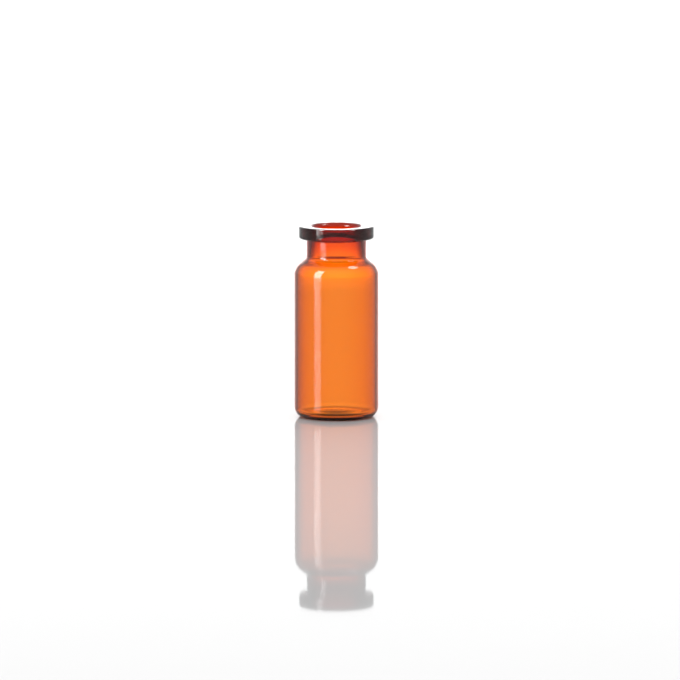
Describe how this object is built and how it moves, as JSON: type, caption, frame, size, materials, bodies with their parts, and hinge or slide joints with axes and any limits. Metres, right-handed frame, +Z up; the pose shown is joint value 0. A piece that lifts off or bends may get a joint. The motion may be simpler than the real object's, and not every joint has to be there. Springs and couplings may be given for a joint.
{
  "type": "glass vial",
  "caption": "Open amber glass vial blown from tube: round body, sloped shoulder, straight neck and crimp flange round a plain bore, on a pushed-up base.",
  "frame": {"origin": "centre of the foot, on the surface that the vial stands on", "axes": "+Z up along the vial's axis, out of the mouth; X and Y level, and the vial is round about Z"},
  "size_m": [0.022, 0.022, 0.0503],
  "materials": {
    "amber_glass": "fire-polished, clear amber"
  },
  "bodies": {
    "root": {"vial": "amber_glass"}
  },
  "joints": []
}
